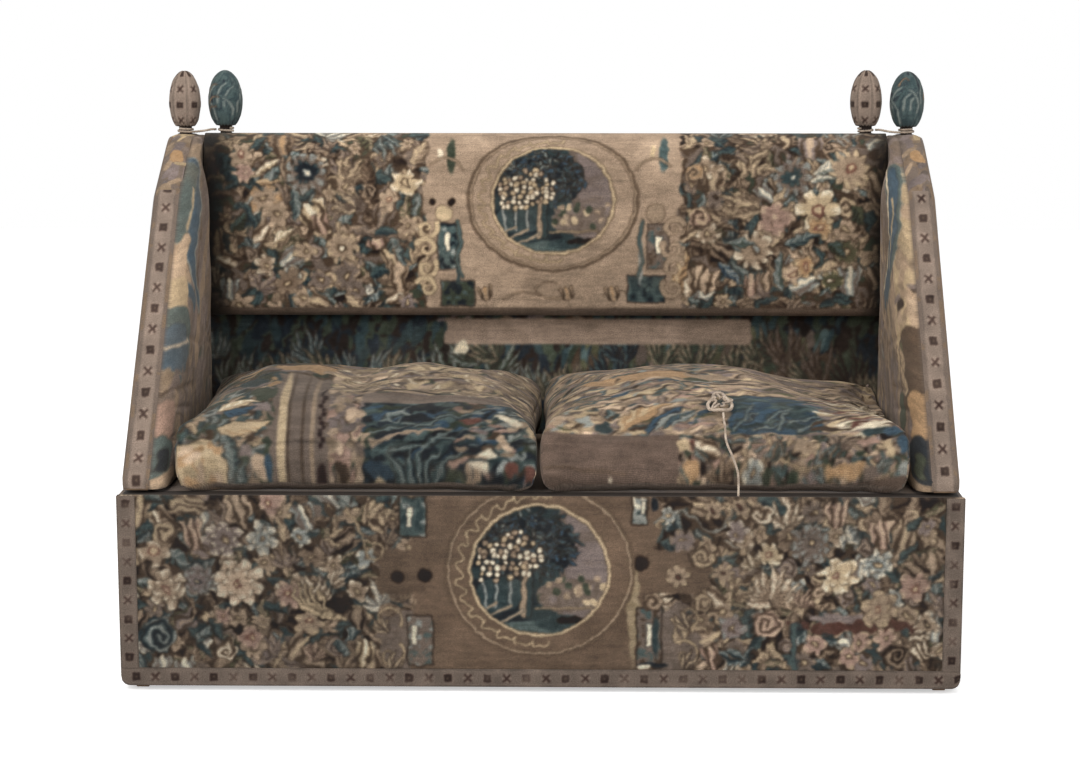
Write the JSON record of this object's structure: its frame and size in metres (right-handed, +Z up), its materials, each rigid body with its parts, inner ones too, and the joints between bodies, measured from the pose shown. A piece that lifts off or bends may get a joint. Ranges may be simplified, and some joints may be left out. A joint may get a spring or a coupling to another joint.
{
  "type": "knole sofa",
  "caption": "Knole sofa: high padded box with a fixed back, hinged drop-down sides tied by cords to covered egg finials, loose seat cushions, and tapestry covers trimmed with braid.",
  "frame": {"origin": "on the floor, under the middle of the sofa's box", "axes": "+Z up, the front faces -Y, and +X is the right-hand side seen from the front"},
  "size_m": [1.68, 0.78, 1.2142],
  "materials": {
    "tapestry": "woven wool tapestry, worn",
    "foliage": "woven wool tapestry with dark leaves",
    "plain_cloth": "plain wool cloth",
    "braid": "flat woven braid with dark squares",
    "leaf_cloth": "woven wool tapestry with blue-green leaves",
    "hessian": "coarse hessian",
    "webbing": "jute webbing",
    "wood": "sawn beech, unfinished",
    "dark_wood": "dark stained wood",
    "steel": "plain steel",
    "cord": "twisted off-white cotton cord",
    "cambric": "thin black dust cloth"
  },
  "bodies": {
    "base": {"apron_braid_bottom": "braid", "apron_braid_left": "braid", "apron_braid_right": "braid", "back_canvas": "hessian", "back_finial_left": "leaf_cloth", "back_finial_right": "braid", "back_lower_rail": "wood", "back_pad": "tapestry", "back_post_left": "wood", "back_post_right": "wood", "back_tie_loop_left": "cord", "back_tie_loop_right": "cord", "back_top_rail": "wood", "centre_brace": "wood", "dust_cover": "cambric", "front_apron": "tapestry", "front_base_board": "wood", "left_base_board": "wood", "left_hinge_base_leaf": "steel", "left_side_cover": "plain_cloth", "leg_front_left": "dark_wood", "leg_front_right": "dark_wood", "leg_rear_left": "dark_wood", "leg_rear_right": "dark_wood", "lower_back_panel": "foliage", "outside_back_cover": "plain_cloth", "rear_base_board": "wood", "right_base_board": "wood", "right_hinge_base_leaf": "steel", "right_side_cover": "plain_cloth", "seat_deck": "plain_cloth", "seat_hessian": "hessian", "seat_spring_front_left": "steel", "seat_spring_front_right": "steel", "seat_spring_rear_left": "steel", "seat_spring_rear_right": "steel", "seat_webbing": "webbing"},
    "left_arm": {"left_arm_bottom_rail": "wood", "left_arm_braid": "braid", "left_arm_finial": "braid", "left_arm_front_rail": "wood", "left_arm_inner_pad": "tapestry", "left_arm_outer_cover": "plain_cloth", "left_arm_rear_post": "wood", "left_arm_tie_cord": "cord", "left_hinge_arm_leaf": "steel"},
    "right_arm": {"right_arm_bottom_rail": "wood", "right_arm_braid": "braid", "right_arm_finial": "leaf_cloth", "right_arm_front_rail": "wood", "right_arm_inner_pad": "tapestry", "right_arm_outer_cover": "plain_cloth", "right_arm_rear_post": "wood", "right_arm_tie_cord": "cord", "right_hinge_arm_leaf": "steel"},
    "left_cushion": {"left_cushion": "tapestry"},
    "right_cushion": {"right_cushion": "tapestry", "cushion_rosette": "cord", "cushion_string": "cord"}
  },
  "joints": [
    {"name": "left_arm_fold", "type": "hinge", "parent": "base", "child": "left_arm", "pos_m": [-0.8342, 0, 0.4045], "axis": [0, -1, 0], "range_deg": [0, 90]},
    {"name": "right_arm_fold", "type": "hinge", "parent": "base", "child": "right_arm", "pos_m": [0.8342, 0, 0.4045], "axis": [0, 1, 0], "range_deg": [0, 90]},
    {"name": "left_cushion_lift", "type": "slide", "parent": "base", "child": "left_cushion", "axis": [0, 0, 1], "range_m": [0, 0.7]},
    {"name": "right_cushion_lift", "type": "slide", "parent": "base", "child": "right_cushion", "axis": [0, 0, 1], "range_m": [0, 0.7]}
  ]
}
